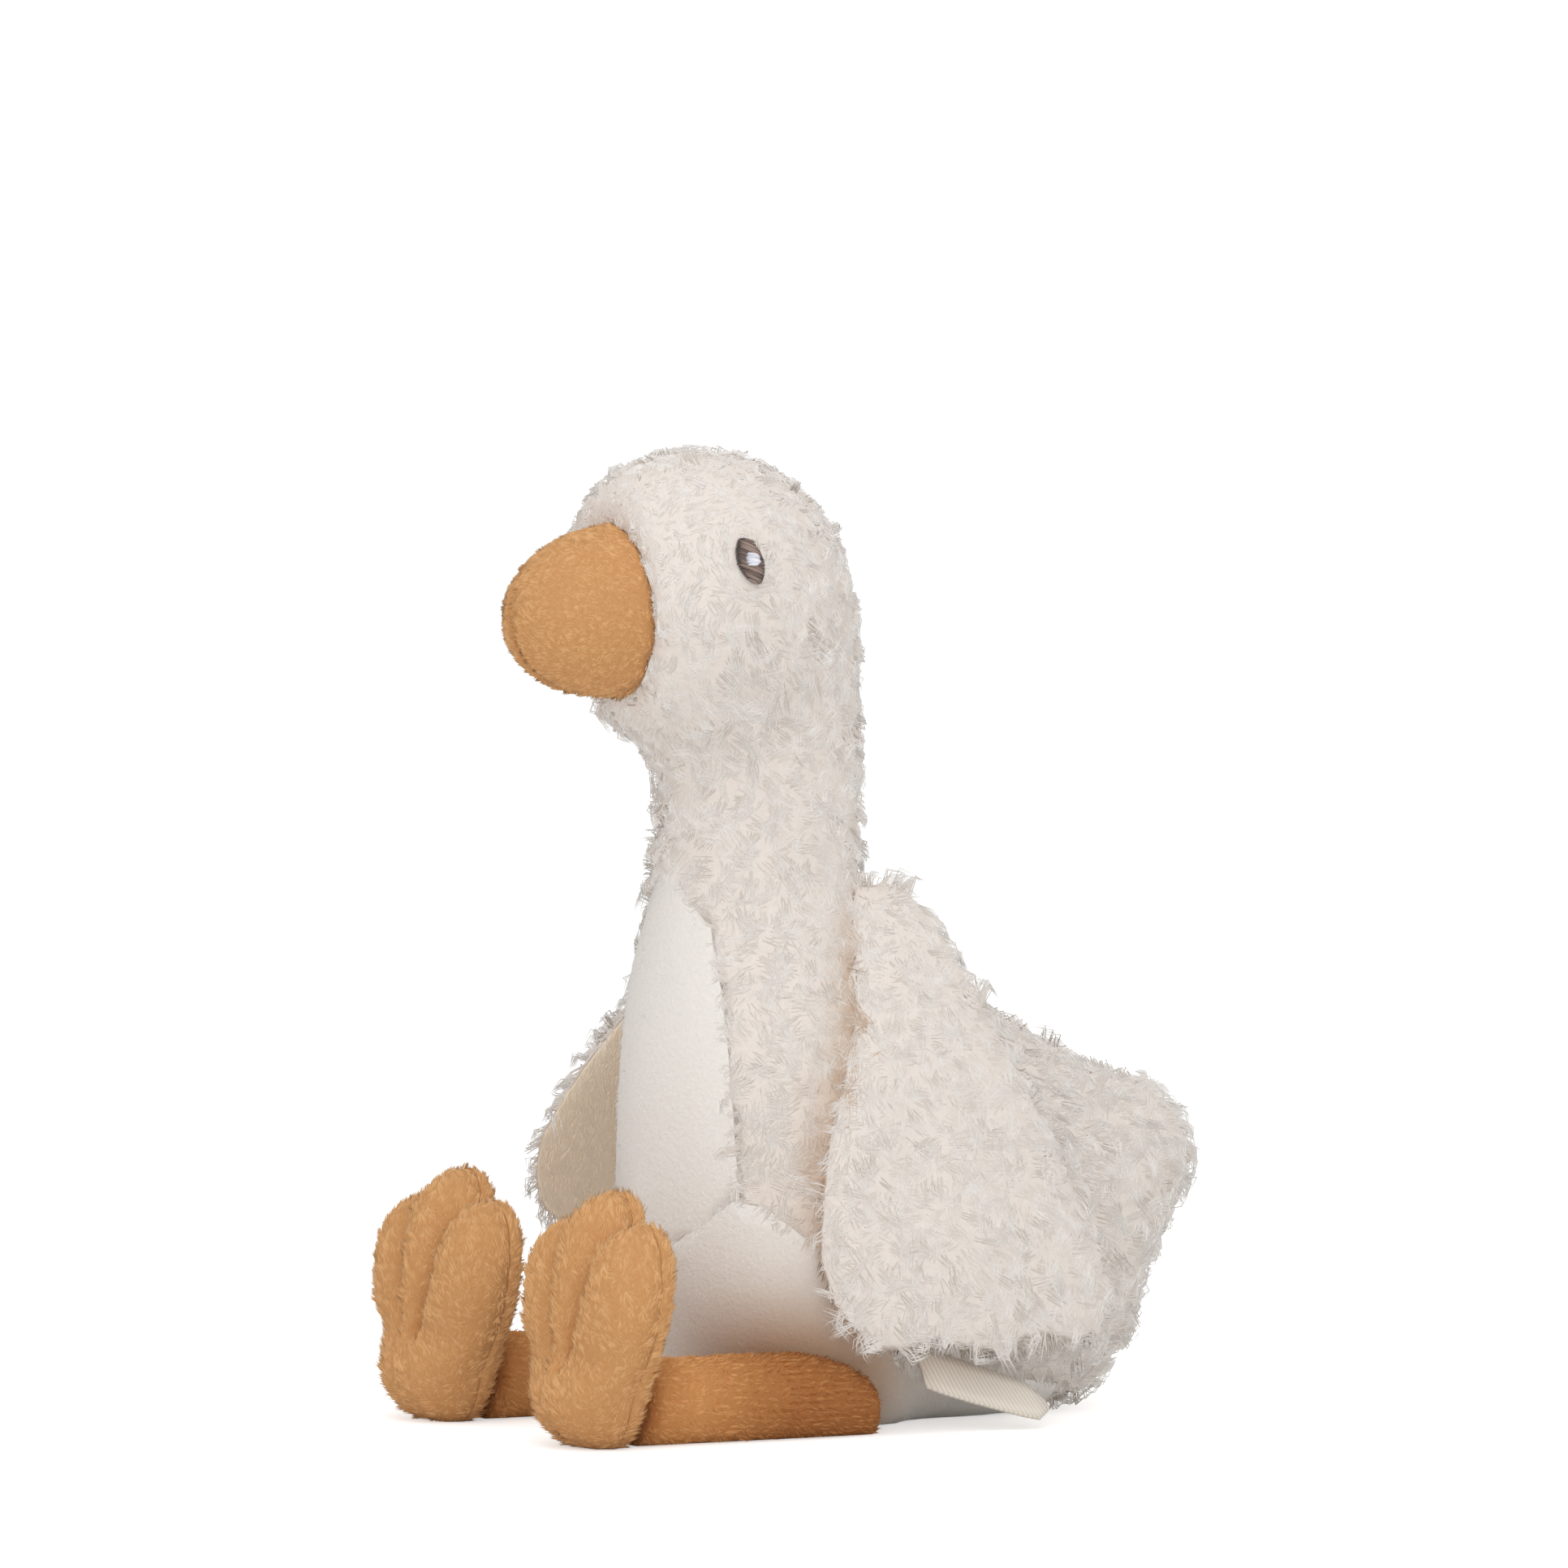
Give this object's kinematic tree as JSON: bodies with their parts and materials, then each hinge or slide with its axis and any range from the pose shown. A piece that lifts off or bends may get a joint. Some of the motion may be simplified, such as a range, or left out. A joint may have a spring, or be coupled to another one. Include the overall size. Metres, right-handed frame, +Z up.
{
  "type": "plush goose",
  "caption": "Sitting plush goose with a curly cream coat, smooth belly, stuffed orange beak, tube legs, upright webbed feet, padded wings and a bare ribbon label",
  "frame": {"origin": "middle of the flat seat patch on the underside, on the surface that the goose sits on", "axes": "+Z is up, the goose faces -Y, +X is the goose's left"},
  "size_m": [0.1302, 0.1588, 0.1931],
  "materials": {
    "curly_plush": "curly cream long-pile plush",
    "smooth_plush": "short-pile cream plush",
    "orange_plush": "short-nap orange plush",
    "brown_thread": "brown satin-stitch embroidery thread",
    "white_thread": "white satin-stitch embroidery thread",
    "ecru_ribbon": "woven twill ribbon, blank"
  },
  "bodies": {
    "root": {"body": "curly_plush", "belly_panel": "smooth_plush", "seat_panel": "smooth_plush", "beak": "orange_plush", "eye_left": "brown_thread", "eye_right": "brown_thread", "eye_glint_left": "white_thread", "eye_glint_right": "white_thread", "wing_left": "curly_plush", "wing_right": "curly_plush", "wing_lining_left": "smooth_plush", "wing_lining_right": "smooth_plush", "leg_left": "orange_plush", "leg_right": "orange_plush", "foot_sole_left": "orange_plush", "foot_sole_right": "orange_plush", "foot_upper_left": "orange_plush", "foot_upper_right": "orange_plush", "label": "ecru_ribbon"}
  },
  "joints": []
}
